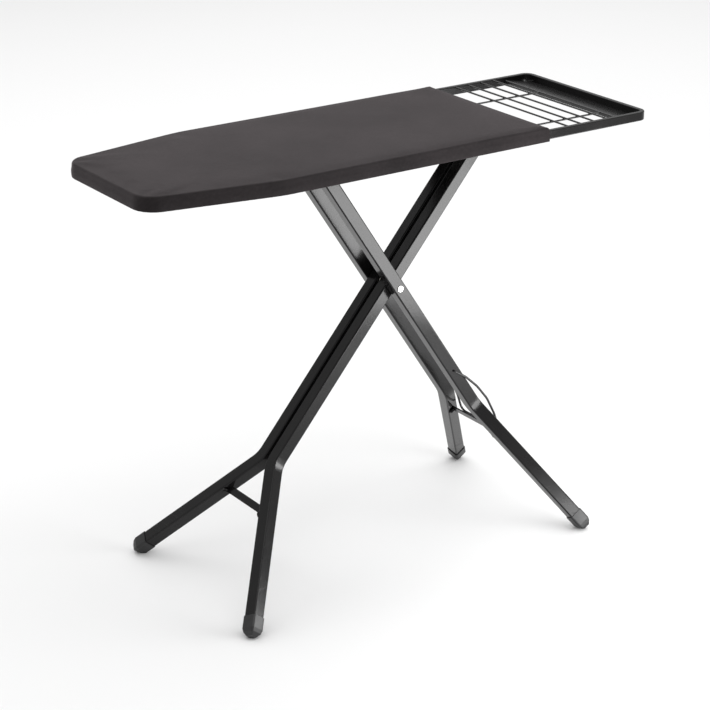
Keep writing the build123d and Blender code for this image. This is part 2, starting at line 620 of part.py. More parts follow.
# ================================================================ legs
class LegLine:
    """Middle line of one bent leg and the directions of its section."""

    def __init__(self, pair, side):
        outer = pair == "outer"
        self.way = 1 if outer else -1
        self.side = side
        self.angle = OUTER_ANGLE if outer else INNER_ANGLE
        self.arm = OUTER_ARM if outer else INNER_ARM
        self.middle = side * (OUTER_MIDDLE if outer else INNER_MIDDLE)
        foot_x = PIVOT_X + (OUTER_FOOT_X if outer else INNER_FOOT_X)
        top_x, top_z = along(self.angle, -self.arm - TUBE_PAST_SHAFT, 0, self.way)
        bend_x, bend_z = along(self.angle, OUTER_BEND if outer else INNER_BEND, 0, self.way)
        self.top = Vector(top_x, self.middle, top_z)
        self.bend = Vector(bend_x, self.middle, bend_z)
        self.floor = Vector(foot_x, side * FOOT_HALF_SPAN, FOOT_LIFT)
        self.upper = (self.bend - self.top).normalized()
        self.lower = (self.floor - self.bend).normalized()
        turn = self.upper.cross(self.lower)
        self.turn = degrees(atan2(turn.length, self.upper.dot(self.lower)))
        self.outward = Vector(0, side, 0).rotate(Axis((0, 0, 0), turn), self.turn)
        self.end = self.floor - self.lower * CAP_SOLE
        self.brace_drop = OUTER_BRACE_DROP if outer else INNER_BRACE_DROP
        down = Vector(self.lower.X, 0, self.lower.Z).normalized()
        self.across = Vector(0, 1, 0).cross(down)

    def at_brace(self):
        """Middle of the leg where the brace is fixed."""
        return self.bend + (self.floor - self.bend) * self.brace_drop

    def brace_plane(self):
        """Plane through the middle lines of both splayed legs, at the brace."""
        origin = Vector(self.at_brace().X, 0, self.at_brace().Z)
        return Plane(origin, x_dir=(0, 1, 0), z_dir=self.across)

    def brace_face(self):
        """Place on the leg's inward face where the brace's bar ends."""
        return self.at_brace() - self.outward * (TUBE / 2)

    def brace_rivet(self):
        """Place of the brace's rivet, on the leg's inward face."""
        return self.brace_face() + self.across * TAB_RIVET


def make_leg(pair, side_name):
    """One leg: a square tube, straight from the top and bent outwards to its foot."""
    leg_line = LegLine(pair, SIDES[side_name])
    top_shaft = along(leg_line.angle, -leg_line.arm, 0, leg_line.way)
    with BuildPart() as leg:
        with BuildLine() as leg_path:
            FilletPolyline(leg_line.top, leg_line.bend, leg_line.end, radius=SPLAY_RADIUS)
        with BuildSketch(Plane(leg_line.top, x_dir=(0, 1, 0), z_dir=leg_line.upper)):
            tube_section(TUBE, TUBE, TUBE_CORNER, TUBE_WALL)
        sweep(path=leg_path.wire())
        cross_hole(*top_shaft, SHAFT + 2 * PRESS_ROOM)
        room = PRESS_ROOM if pair == "outer" else SHAFT_ROOM / 2
        cross_hole(PIVOT_X, PIVOT_Z, PIVOT_TUBE + 2 * room)
        if pair == "outer":
            bail_x, bail_z = along(OUTER_ANGLE, BAIL_PIVOT)
            outer_y = leg_line.middle + leg_line.side * TUBE / 2
            cross_rod(bail_x, bail_z, BAIL_WIRE + 2 * SHAFT_ROOM,
                      outer_y - 2 * TUBE_WALL, outer_y + 2 * TUBE_WALL, Mode.SUBTRACT)
        with BuildSketch(Plane(leg_line.brace_rivet(), x_dir=leg_line.lower,
                               z_dir=leg_line.outward)):
            Circle(RIVET / 2 + PRESS_ROOM)
        extrude(amount=2 * TUBE_WALL, both=True, mode=Mode.SUBTRACT)
    save(leg, f"{pair}_leg_{side_name}")


def make_foot(pair, side_name):
    """Moulded domed cap over a leg's end, with a small flat where it stands on the floor."""
    leg_line = LegLine(pair, SIDES[side_name])
    outside = TUBE + 2 * CAP_WALL
    sleeve_top = leg_line.end - leg_line.lower * CAP_SLEEVE
    dome = ((0, 1.0), (CAP_DOME / 2, CAP_SHOULDER), (CAP_DOME, CAP_TIP))
    with BuildPart() as foot:
        with BuildSketch(Plane(sleeve_top, x_dir=leg_line.outward, z_dir=leg_line.lower)):
            RectangleRounded(outside, outside, TUBE_CORNER + CAP_WALL)
        extrude(amount=CAP_SLEEVE)
        for depth, share in dome:
            with BuildSketch(Plane(leg_line.end + leg_line.lower * depth,
                                   x_dir=leg_line.outward, z_dir=leg_line.lower)):
                RectangleRounded(outside * share, outside * share,
                                 (TUBE_CORNER + CAP_WALL) * share)
        loft(ruled=True)
        with BuildSketch(Plane(sleeve_top, x_dir=leg_line.outward, z_dir=leg_line.lower)):
            RectangleRounded(TUBE + 2 * CAP_ROOM, TUBE + 2 * CAP_ROOM, TUBE_CORNER + CAP_ROOM)
        extrude(amount=CAP_SLEEVE, mode=Mode.SUBTRACT)
        split(bisect_by=Plane.XY, keep=Keep.TOP)
    save(foot, f"{pair}_foot_{side_name}")


def make_top_plugs(pair):
    """Plastic plugs in the open upper ends of one pair of legs."""
    bore = TUBE - 2 * (TUBE_WALL + PLUG_ROOM)
    shaft_clear = TUBE_PAST_SHAFT - SHAFT / 2 - PIECE_GAP
    with BuildPart() as plugs:
        for side in SIDES.values():
            leg_line = LegLine(pair, side)
            with BuildSketch(Plane(leg_line.top, x_dir=(0, 1, 0), z_dir=leg_line.upper)):
                RectangleRounded(bore, bore, TUBE_CORNER - TUBE_WALL)
            extrude(amount=min(PLUG_DEPTH, shaft_clear))
            with BuildSketch(Plane(leg_line.top, x_dir=(0, 1, 0), z_dir=-leg_line.upper)):
                RectangleRounded(TUBE, TUBE, TUBE_CORNER)
            extrude(amount=PLUG_HEAD)
    save(plugs, f"{pair}_top_plugs")


def brace_outline(leg_line, plane):
    """Corners of the brace's flat bar, its ends parallel to the legs' inward faces."""
    face = plane.to_local_coords(leg_line.brace_face())
    outward = plane.to_local_coords(plane.origin + leg_line.outward)
    lower = plane.to_local_coords(plane.origin + leg_line.lower)
    corners = []
    for down in (-BRACE_HEIGHT / 2, BRACE_HEIGHT / 2):
        reach = face.X + (down - face.Y) * lower.X / lower.Y - BRACE_ROOM / outward.X
        corners.append((reach, down))
    (high_y, high_t), (low_y, low_t) = corners
    return [(high_y, high_t), (low_y, low_t), (-low_y, low_t), (-high_y, high_t)]


def make_brace(pair):
    """Flat bar between the splayed legs, its ends turned up as tabs on their faces."""
    leg_line = LegLine(pair, 1)
    plane = leg_line.brace_plane()
    tab_flat = TAB_RIVET + BRACE_THICKNESS / 2
    with BuildPart() as brace:
        with BuildSketch(plane):
            Polygon(*brace_outline(leg_line, plane), align=None)
        extrude(amount=BRACE_THICKNESS / 2, both=True)
        for side in SIDES.values():
            mirrored = LegLine(pair, side)
            tab_face = mirrored.brace_face() - mirrored.outward * BRACE_ROOM
            with BuildSketch(Plane(tab_face, x_dir=mirrored.across,
                                   z_dir=-mirrored.outward)):
                with Locations((TAB_RIVET - tab_flat / 2, 0)):
                    Rectangle(tab_flat, BRACE_HEIGHT)
                with Locations((TAB_RIVET, 0)):
                    Circle(BRACE_HEIGHT / 2)
                    Circle(RIVET / 2 + PRESS_ROOM, mode=Mode.SUBTRACT)
            extrude(amount=BRACE_THICKNESS)
    save(brace, f"{pair}_brace")

    with BuildPart() as rivets:
        for side in SIDES.values():
            mirrored = LegLine(pair, side)
            inward = -mirrored.outward
            face_in = mirrored.brace_rivet()
            head = face_in + inward * (BRACE_ROOM + BRACE_THICKNESS + PIECE_GAP)
            with BuildSketch(Plane(face_in - inward * (TUBE_WALL + 1), x_dir=mirrored.lower,
                                   z_dir=inward)):
                Circle(RIVET / 2)
            extrude(amount=BRACE_ROOM + BRACE_THICKNESS + PIECE_GAP + TUBE_WALL + 1)
            with BuildSketch(Plane(head, x_dir=mirrored.lower, z_dir=inward)):
                Circle(RIVET_HEAD / 2)
            extrude(amount=RIVET_HEAD_THICKNESS, taper=30)
    save(rivets, f"{pair}_brace_rivets")


# ================================================================ shafts and pivot
def make_shafts():
    """Hinge shaft of the inner pair, slider rod of the outer pair and what is on them."""
    hinge_end = INNER_FACE + PAIR_GAP + BRACKET_THICKNESS + CLIP_THICKNESS + 3
    with BuildPart() as hinge_shaft:
        cross_rod(HINGE_X, HINGE_Z, SHAFT, -hinge_end, hinge_end)
        chamfer(hinge_shaft.edges().filter_by(GeomType.CIRCLE), 1)
    save(hinge_shaft, "hinge_shaft")

    rod_end = RACK_Y + RACK_THICKNESS + ROD_PAST_RACK
    with BuildPart() as slider_rod:
        cross_rod(SLIDER_X, HINGE_Z, SHAFT, -rod_end, rod_end)
        chamfer(slider_rod.edges().filter_by(GeomType.CIRCLE), 1)
    save(slider_rod, "slider_rod")

    with BuildPart() as slider_rollers:
        for side in SIDES.values():
            low, high = sorted((side * (RACK_Y - 1.5), side * (RACK_Y + RACK_THICKNESS + 1.5)))
            cross_rod(SLIDER_X, HINGE_Z, ROLLER, low, high)
        cross_hole(SLIDER_X, HINGE_Z, SHAFT + 2 * PRESS_ROOM)
    save(slider_rollers, "slider_rollers")

    clip_place = INNER_FACE + PAIR_GAP + BRACKET_THICKNESS + FACE_ROOM
    make_clips("hinge_clips", HINGE_X, HINGE_Z, clip_place)
    make_clips("slider_clips", SLIDER_X, HINGE_Z, RACK_Y + RACK_THICKNESS + 1.5 + FACE_ROOM)

    gap = (PAIR_GAP - 2 * FACE_ROOM)
    with BuildPart() as hinge_washers:
        for side in SIDES.values():
            low, high = sorted((side * (INNER_FACE + FACE_ROOM),
                                side * (INNER_FACE + FACE_ROOM + gap)))
            cross_rod(HINGE_X, HINGE_Z, CLIP, low, high)
        cross_hole(HINGE_X, HINGE_Z, SHAFT + 2 * PRESS_ROOM)
    save(hinge_washers, "hinge_washers")


def make_clips(label, x, z, y):
    """Push-on retaining washers at both ends of a shaft."""
    with BuildPart() as clips:
        for side in SIDES.values():
            low, high = sorted((side * y, side * (y + CLIP_THICKNESS)))
            cross_rod(x, z, CLIP, low, high)
        cross_hole(x, z, SHAFT + 2 * PRESS_ROOM)
    save(clips, label)


def make_crossing():
    """Hollow rivet through all four legs, with its washers and spacer."""
    with BuildPart() as pivot_rivet:
        cross_rod(PIVOT_X, PIVOT_Z, PIVOT_TUBE, -OUTER_FACE, OUTER_FACE)
        for side in SIDES.values():
            low, high = sorted((side * OUTER_FACE, side * (OUTER_FACE + PIVOT_HEAD_THICKNESS)))
            cross_rod(PIVOT_X, PIVOT_Z, PIVOT_HEAD, low, high)
        cross_hole(PIVOT_X, PIVOT_Z, PIVOT_BORE)
        rims = pivot_rivet.edges().filter_by(GeomType.CIRCLE)
        fillet([rim for rim in rims if rim.radius > PIVOT_TUBE / 2 + 1
                and abs(rim.center().Y) > OUTER_FACE + 1], 1)
    save(pivot_rivet, "pivot_rivet")

    gap = PAIR_GAP - FACE_ROOM
    with BuildPart() as pivot_washers:
        for side in SIDES.values():
            outer_y = side * (INNER_FACE + PAIR_GAP)
            low, high = sorted((outer_y, outer_y - side * gap))
            cross_rod(PIVOT_X, PIVOT_Z, PIVOT_WASHER, low, high)
        cross_hole(PIVOT_X, PIVOT_Z, PIVOT_TUBE + 2 * PRESS_ROOM)
    save(pivot_washers, "pivot_washers")

    with BuildPart() as pivot_spacer:
        reach = INNER_GAP / 2 - FACE_ROOM
        cross_rod(PIVOT_X, PIVOT_Z, PIVOT_TUBE + 2 * SPACER_WALL, -reach, reach)
        cross_hole(PIVOT_X, PIVOT_Z, PIVOT_TUBE + SHAFT_ROOM)
    save(pivot_spacer, "pivot_spacer")


def make_bail():
    """Wire bail on the outer legs that holds the folded board together."""
    arm_y = OUTER_FACE + BAIL_SIDE_GAP + BAIL_WIRE / 2
    tip_y = OUTER_FACE - TUBE_WALL - 5
    shape = [(0, 0), (0.16, 0.5), (0.36, 0.86), (0.58, 1.0), (0.80, 0.82), (1.0, 0.42)]
    arm = []
    for reach, rise in shape:
        x, z = along(OUTER_ANGLE, BAIL_PIVOT + reach * BAIL_REACH, rise * BAIL_RISE)
        arm.append((x, z))
    pivot_x, pivot_z = arm[0]
    right = [(pivot_x, -tip_y, pivot_z)] + [(x, -arm_y, z) for x, z in arm]
    left = [(x, arm_y, z) for x, z in reversed(arm)] + [(pivot_x, tip_y, pivot_z)]
    bow = [BAIL_BOW] * (len(arm) - 2)
    radii = [BAIL_EYE_BEND, *bow, BAIL_BEND, BAIL_BEND, *bow, BAIL_EYE_BEND]
    with BuildPart() as bail:
        with BuildLine() as bail_path:
            FilletPolyline(*right, *left, radius=radii)
        with BuildSketch(Plane(right[0], x_dir=(1, 0, 0), z_dir=(0, -1, 0))):
            Circle(BAIL_WIRE / 2)
        sweep(path=bail_path.wire())
    save(bail, "transport_bail")


make_deck()
make_iron_rest()
for bar_label, bar_x in (("hinge_bar", HINGE_BAR_X), ("rack_bar", SLIDER_X),
                         ("front_bar", RACK_FRONT_X)):
    make_cross_bar(bar_label, bar_x)
for name, sign in SIDES.items():
    make_rack(f"height_rack_{name}", sign)
    make_hinge_bracket(f"hinge_bracket_{name}", sign)
make_bar_rivets()
make_lever()
for pair_name in ("outer", "inner"):
    for name in SIDES:
        make_leg(pair_name, name)
        make_foot(pair_name, name)
    make_top_plugs(pair_name)
    make_brace(pair_name)
make_shafts()
make_crossing()
make_bail()

print(len(nodes), "nodes")
print("hinge", round(HINGE_X, 3), HINGE_Z, "slider", round(SLIDER_X, 3),
      "folded slider", round(SLIDER_FOLDED_X, 3))
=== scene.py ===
"""Finished look of a folding ironing board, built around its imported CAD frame."""

import logging
import math
from dataclasses import dataclass, field
from enum import Enum
from typing import Any, Callable, Sequence

import bmesh
import bpy
import numpy as np
from mathutils import Matrix, Vector


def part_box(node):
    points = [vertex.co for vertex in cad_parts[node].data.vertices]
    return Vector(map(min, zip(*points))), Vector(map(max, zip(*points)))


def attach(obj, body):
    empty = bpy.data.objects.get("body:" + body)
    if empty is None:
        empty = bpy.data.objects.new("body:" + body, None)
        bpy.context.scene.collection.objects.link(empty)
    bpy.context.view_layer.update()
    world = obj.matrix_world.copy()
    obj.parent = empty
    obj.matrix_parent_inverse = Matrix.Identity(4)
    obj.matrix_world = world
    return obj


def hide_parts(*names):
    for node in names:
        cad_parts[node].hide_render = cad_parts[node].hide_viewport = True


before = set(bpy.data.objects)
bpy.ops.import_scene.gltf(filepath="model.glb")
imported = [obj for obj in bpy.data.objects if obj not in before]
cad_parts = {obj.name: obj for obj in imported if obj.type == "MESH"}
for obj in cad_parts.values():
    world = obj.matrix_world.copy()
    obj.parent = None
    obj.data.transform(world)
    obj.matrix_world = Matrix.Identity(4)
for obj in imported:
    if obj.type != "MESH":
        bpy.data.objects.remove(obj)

LOG = logging.getLogger("ironing_board")
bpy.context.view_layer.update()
Point = tuple[float, float, float]


# ---------------------------------------------------------------- shader maths
class Shade:
    """One socket of a shader tree, with arithmetic that adds Math nodes."""

    def __init__(self, tree: "FinishTree", socket: bpy.types.NodeSocket) -> None:
        """Keep the tree and the socket."""
        self.tree = tree
        self.socket = socket

    def _math(self, operation: str, *values: Any) -> "Shade":
        """Add one Math node.

        Args:
            operation: the Math node's operation.
            values: shades or numbers, in the node's order.

        Returns:
            The node's result.
        """
        sockets = {index: value for index, value in enumerate(values)}
        return self.tree.node("ShaderNodeMath", {"operation": operation}, sockets)

    def __add__(self, other: Any) -> "Shade":
        """Sum."""
        return self._math("ADD", self, other)

    def __radd__(self, other: Any) -> "Shade":
        """Sum with the number on the left."""
        return self._math("ADD", other, self)

    def __sub__(self, other: Any) -> "Shade":
        """Difference."""
        return self._math("SUBTRACT", self, other)

    def __rsub__(self, other: Any) -> "Shade":
        """Difference with the number on the left."""
        return self._math("SUBTRACT", other, self)

    def __mul__(self, other: Any) -> "Shade":
        """Product."""
        return self._math("MULTIPLY", self, other)

    def __rmul__(self, other: Any) -> "Shade":
        """Product with the number on the left."""
        return self._math("MULTIPLY", other, self)

    def sine(self) -> "Shade":
        """Give the sine of this value."""
        return self._math("SINE", self)

    def power(self, exponent: float) -> "Shade":
        """Raise to a power."""
        return self._math("POWER", self, exponent)

    def ramp(self, low: float, high: float) -> "Shade":
        """Map low to 0 and high to 1, clamped.

        Args:
            low: value that becomes 0.
            high: value that becomes 1.

        Returns:
            The clamped share between them.
        """
        sockets = {"Value": self, "From Min": low, "From Max": high}
        return self.tree.node("ShaderNodeMapRange", {"clamp": True}, sockets)


class FinishTree:
    """Node tree of one material, with a single method that makes its nodes."""

    def __init__(self, name: str) -> None:
        """Start an empty material.

        Args:
            name: the material's name.
        """
        self.material = bpy.data.materials.new(name)
        self.material.use_nodes = True
        self.nodes = self.material.node_tree.nodes
        self.links = self.material.node_tree.links
        self.nodes.clear()
        self.output = self.nodes.new("ShaderNodeOutputMaterial")
        self.shader = self.nodes.new("ShaderNodeBsdfPrincipled")
        self.links.new(self.shader.outputs[0], self.output.inputs["Surface"])

    def node(self, kind: str, settings: dict[str, Any], sockets: dict[Any, Any],
             output: int | str = 0) -> Shade:
        """Make one node.

        Args:
            kind: the node's Blender type.
            settings: its properties, set before its sockets.
            sockets: values or shades by socket name or number.
            output: which output to return.

        Returns:
            The chosen output.
        """
        made = self.nodes.new(kind)
        for key, value in settings.items():
            if key == "stops":
                while len(made.color_ramp.elements) < len(value):
                    made.color_ramp.elements.new(1.0)
                for element, (place, colour) in zip(made.color_ramp.elements, value):
                    element.position, element.color = place, (*colour, 1.0)
            else:
                setattr(made, key, value)
        for key, value in sockets.items():
            if isinstance(value, Shade):
                self.links.new(value.socket, made.inputs[key])
            else:
                made.inputs[key].default_value = value
        return Shade(self, made.outputs[output])

    def place(self) -> Shade:
        """Object coordinates."""
        return self.node("ShaderNodeTexCoord", {}, {}, "Object")

    def cloth_place(self) -> Shade:
        """The piece's own UV map, in metres along the cloth."""
        return self.node("ShaderNodeUVMap", {"uv_map": "cloth"}, {})

    def axis(self, name: str) -> Shade:
        """One component of the object coordinates."""
        return self.node("ShaderNodeSeparateXYZ", {}, {0: self.place()}, name)

    def noise(self, scale: float, detail: float = 3.0, rough: float = 0.55,
              where: Shade | None = None) -> Shade:
        """Noise texture.

        Args:
            scale: features per metre.
            detail: octaves.
            rough: share that each octave keeps.
            where: coordinates, or None for object coordinates.

        Returns:
            The noise, about 0.5 on average.
        """
        sockets = {"Vector": where or self.place(), "Scale": scale, "Detail": detail,
                   "Roughness": rough}
        return self.node("ShaderNodeTexNoise", {}, sockets)

    def stretched(self, stretch: Point, scale: float) -> Shade:
        """Noise drawn out along one direction, as brushing leaves it."""
        where = self.node("ShaderNodeMapping", {}, {"Vector": self.place(), "Scale": stretch})
        return self.noise(scale, 2.0, 0.6, where)

    def speckle(self, scale: float) -> Shade:
        """Distance to the nearest point of a cell pattern."""
        sockets = {"Vector": self.place(), "Scale": scale}
        return self.node("ShaderNodeTexVoronoi", {"feature": "F1"}, sockets, "Distance")

    def mix(self, share: Shade | float, low: Any, high: Any) -> Shade:
        """Blend two colours.

        Args:
            share: 0 for low and 1 for high.
            low: colour or shade.
            high: colour or shade.

        Returns:
            The mixed colour.
        """
        pair = [value if isinstance(value, Shade) else (*value, 1.0) for value in (low, high)]
        sockets = {0: share, 6: pair[0], 7: pair[1]}
        return self.node("ShaderNodeMix", {"data_type": "RGBA"}, sockets, 2)

    def bump(self, height: Shade, distance: float, strength: float = 1.0,
             base: Shade | None = None) -> Shade:
        """Bump node.

        Args:
            height: the height pattern, 0 to 1.
            distance: height of 1, in metres.
            strength: share of the effect.
            base: a normal to start from.

        Returns:
            The changed normal.
        """
        sockets: dict[Any, Any] = {"Strength": strength, "Distance": distance, "Height": height}
        if base is not None:
            sockets["Normal"] = base
        return self.node("ShaderNodeBump", {}, sockets)

    def feed(self, **inputs: Any) -> None:
        """Set or link the shader's inputs, with _ for a space in their names."""
        for key, value in inputs.items():
            socket = self.shader.inputs[key.replace("_", " ")]
            if isinstance(value, Shade):
                self.links.new(value.socket, socket)
            elif isinstance(value, tuple):
                socket.default_value = (*value, 1.0)
            else:
                socket.default_value = value


# ---------------------------------------------------------------- finishes
class Metal(Enum):
    """Bright metals of the small hardware."""

    ZINC = ("zinc_plate", (0.60, 0.60, 0.61), 0.30)
    SPRING = ("spring_steel", (0.40, 0.39, 0.37), 0.36)
    RIVET = ("bright_rivet", (0.78, 0.77, 0.75), 0.18)


@dataclass(frozen=True)
class EnamelFinish:
    """Glossy black enamel over steel tube, with fine orange peel and floor scuffs."""

    name: str = "black_enamel"
    colour: Point = (0.0065, 0.0062, 0.0064)
    dust: Point = (0.013, 0.0125, 0.0122)
    gloss: float = 0.16
    peel: float = 0.00006
    scuff_top: float = 0.16

    def make(self) -> bpy.types.Material:
        """Build the material."""
        tree = FinishTree(self.name)
        smear = tree.noise(9.0, 4.0).ramp(0.42, 0.72)
        peel = tree.noise(420.0, 2.0, 0.5)
        grit = 1.0 - tree.speckle(900.0).ramp(0.05, 0.35)
        low = 1.0 - tree.axis("Z").ramp(0.02, self.scuff_top)
        scuff = tree.stretched((6.0, 6.0, 60.0), 4.0).ramp(0.60, 0.66) * low
        tree.feed(
            Base_Color=tree.mix(smear * 0.45 + scuff * 0.5, self.colour, self.dust),
            Roughness=self.gloss + smear * 0.07 + scuff * 0.22 + grit * 0.02,
            Normal=tree.bump(grit, 0.00001, 0.5, tree.bump(peel, self.peel)),
            Metallic=0.0, IOR=1.45, Specular_IOR_Level=0.22, Coat_Weight=0.10,
            Coat_Roughness=0.10,
        )
        return tree.material


@dataclass(frozen=True)
class WireEnamelFinish:
    """Black enamel of the rest's wires, worn thin along the tops by the iron."""

    name: str = "black_wire_enamel"
    colour: Point = (0.010, 0.0097, 0.010)
    worn: Point = (0.075, 0.072, 0.070)
    wear_level: float = 0.9095

    def make(self) -> bpy.types.Material:
        """Build the material."""
        tree = FinishTree(self.name)
        top = tree.axis("Z").ramp(self.wear_level, self.wear_level + 0.004)
        worn = tree.noise(55.0, 3.0).ramp(0.50, 0.68) * top
        tree.feed(
            Base_Color=tree.mix(worn, self.colour, self.worn),
            Roughness=0.24 + worn * 0.16 + tree.noise(30.0) * 0.06,
            Metallic=worn * 0.7,
            Normal=tree.bump(tree.noise(500.0, 2.0), 0.00005), IOR=1.5,
        )
        return tree.material


@dataclass(frozen=True)
class MetalFinish:
    """Plated steel with faint brushing and dull patches."""

    metal: Metal

    def make(self) -> bpy.types.Material:
        """Build the material."""
        name, colour, rough = self.metal.value
        tree = FinishTree(name)
        lines = tree.stretched((1.0, 0.06, 1.0), 900.0)
        dull = tree.noise(60.0, 4.0).ramp(0.45, 0.75)
        dark = tuple(part * 0.72 for part in colour)
        tree.feed(
            Base_Color=tree.mix(dull * 0.6 + lines * 0.2, colour, dark),
            Roughness=rough + dull * 0.14 + lines * 0.06,
            Normal=tree.bump(lines, 0.00003), Metallic=1.0,
        )
        return tree.material


@dataclass(frozen=True)
class PlasticFinish:
    """Moulded plastic with a fine grain."""

    name: str
    colour: Point
    rough: float
    grain: float = 1400.0
    relief: float = 0.00005

    def make(self) -> bpy.types.Material:
        """Build the material."""
        tree = FinishTree(self.name)
        grain = tree.speckle(self.grain)
        rubbed = tree.noise(24.0, 4.0).ramp(0.48, 0.74)
        light = tuple(min(1.0, part * 1.5 + 0.006) for part in self.colour)
        tree.feed(
            Base_Color=tree.mix(rubbed * 0.5, self.colour, light),
            Roughness=self.rough - rubbed * 0.10 + grain * 0.06,
            Normal=tree.bump(grain, self.relief, 0.6), IOR=1.48,
        )
        return tree.material


@dataclass(frozen=True)
class ClothFinish:
    """Woven cotton: crossed threads, uneven dye and a soft nap."""

    name: str
    colour: Point
    faded: Point
    thread: float = 0.00085
    relief: float = 0.00012
    sheen: float = 0.25

    def make(self) -> bpy.types.Material:
        """Build the material."""
        tree = FinishTree(self.name)
        place = tree.cloth_place()
        turns = 2 * math.pi / self.thread
        across = tree.node("ShaderNodeSeparateXYZ", {}, {0: place}, "X")
        along = tree.node("ShaderNodeSeparateXYZ", {}, {0: place}, "Y")
        warp = (across * turns).sine()
        weft = (along * turns).sine()
        weave = warp * weft * 0.5 + 0.5
        slub = tree.noise(130.0, 3.0, 0.6, place).ramp(0.35, 0.75)
        dye = tree.noise(5.0, 4.0, 0.55, place).ramp(0.35, 0.70)
        nap = tree.noise(900.0, 2.0, 0.6, place)
        tree.feed(
            Base_Color=tree.mix(dye * 0.55 + slub * 0.25 + weave * 0.15, self.colour, self.faded),
            Roughness=0.86 + nap * 0.10,
            Normal=tree.bump(weave * 0.7 + nap * 0.5, self.relief, 0.8,
                             tree.bump(slub, 0.00020, 0.5)),
            Sheen_Weight=self.sheen, Sheen_Roughness=0.45, IOR=1.40,
        )
        tree.feed(Specular_IOR_Level=0.25, Sheen_Tint=(0.80, 0.72, 0.74))
        return tree.material


@dataclass(frozen=True)
class FeltFinish:
    """Pressed felt with coarse fibres."""

    name: str = "grey_felt"
    colour: Point = (0.42, 0.40, 0.375)

    def make(self) -> bpy.types.Material:
        """Build the material."""
        tree = FinishTree(self.name)
        fibre = tree.noise(700.0, 4.0, 0.7)
        clump = tree.noise(60.0, 3.0).ramp(0.35, 0.7)
        dark = tuple(part * 0.7 for part in self.colour)
        tree.feed(Base_Color=tree.mix(clump * 0.5 + fibre * 0.3, self.colour, dark),
                  Roughness=0.95, Normal=tree.bump(fibre, 0.0004), Sheen_Weight=0.2)
        return tree.material


@dataclass(frozen=True)
class FloorFinish:
    """Plain pale studio floor."""

    name: str = "studio_floor"
    colour: Point = (0.88, 0.88, 0.88)

    def make(self) -> bpy.types.Material:
        """Build the material."""
        tree = FinishTree(self.name)
        cloud = tree.noise(0.8, 2.0)
        soft = tuple(part * 0.985 for part in self.colour)
        tree.feed(Base_Color=tree.mix(cloud, self.colour, soft), Roughness=0.9)
        return tree.material


# ---------------------------------------------------------------- board outline
@dataclass
class BoardPlan:
    """Plan of the covered deck, in metres, shrunk or grown by an inset."""

    taper_length: float = 0.275
    nose_width: float = 0.306
    nose_radius: float = 0.048
    taper_radius: float = 0.220
    straight_step: float = 0.0095
    arc_steps: int = 12
    kink_steps: int = 6
    nose_x: float = field(default_factory=lambda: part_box("cover")[0].x)
    rear_x: float = field(default_factory=lambda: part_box("cover")[1].x)
    half: float = field(default_factory=lambda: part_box("cover")[1].y)

    def corners(self, inset: float) -> list[Vector]:
        """Side kink, nose corner and nose middle for an inset.

        Args:
            inset: distance inwards from the cover's outline.

        Returns:
            The three corners in plan, on the +Y side.
        """
        slope = (self.half - self.nose_width / 2) / self.taper_length
        lean = math.sqrt(1 + slope ** 2)
        kink = self.nose_x + self.taper_length + inset * (lean - 1) / slope
        front = self.nose_width / 2 - inset * lean + slope * inset
        return [Vector((kink, self.half - inset)), Vector((self.nose_x + inset, front)),
                Vector((self.nose_x + inset, 0.0))]

    @staticmethod
    def arc(before: Vector, corner: Vector, after: Vector, radius: float,
            steps: int) -> list[Vector]:
        """Rounded corner of a line.

        Args:
            before: point before the corner.
            corner: the sharp corner.
            after: point after it.
            radius: the rounding radius.
            steps: number of parts.

        Returns:
            Points from one tangent point to the other.
        """
        first, second = (corner - before).normalized(), (after - corner).normalized()
        turn = first.angle_signed(second)
        reach = radius * math.tan(abs(turn) / 2)
        way = 1 if turn > 0 else -1
        inward = Vector((first.y, -first.x)) * way
        centre = corner - first * reach + inward * radius
        points = []
        for step in range(steps + 1):
            angle = abs(turn) * step / steps
            points.append(centre + first * (radius * math.sin(angle))
                          - inward * (radius * math.cos(angle)))
        return points

    def side(self, inset: float, rear_x: float) -> list[Vector]:
        """One side from the rear end to the nose's straight front, on the +Y side.

        Args:
            inset: distance inwards.
            rear_x: where the side starts.

        Returns:
            Points in plan; the same number for every inset.
        """
        kink, corner, middle = self.corners(inset)
        start = Vector((rear_x, self.half - inset))
        bend = self.arc(start, kink, corner, self.taper_radius, self.kink_steps)
        nose = self.arc(kink, corner, middle, self.nose_radius - inset, self.arc_steps)
        whole = self.arc(Vector((self.rear_x, self.half)), *self.corners(0)[:2],
                         self.taper_radius, 1)
        rear_parts = round((self.rear_x - whole[0].x) / self.straight_step)
        taper_parts = round((whole[1] - self.corners(0)[1]).length / self.straight_step)
        points = [start.lerp(bend[0], part / rear_parts) for part in range(rear_parts)]
        points += bend[:-1]
        points += [bend[-1].lerp(nose[0], part / taper_parts) for part in range(taper_parts)]
        return points + nose


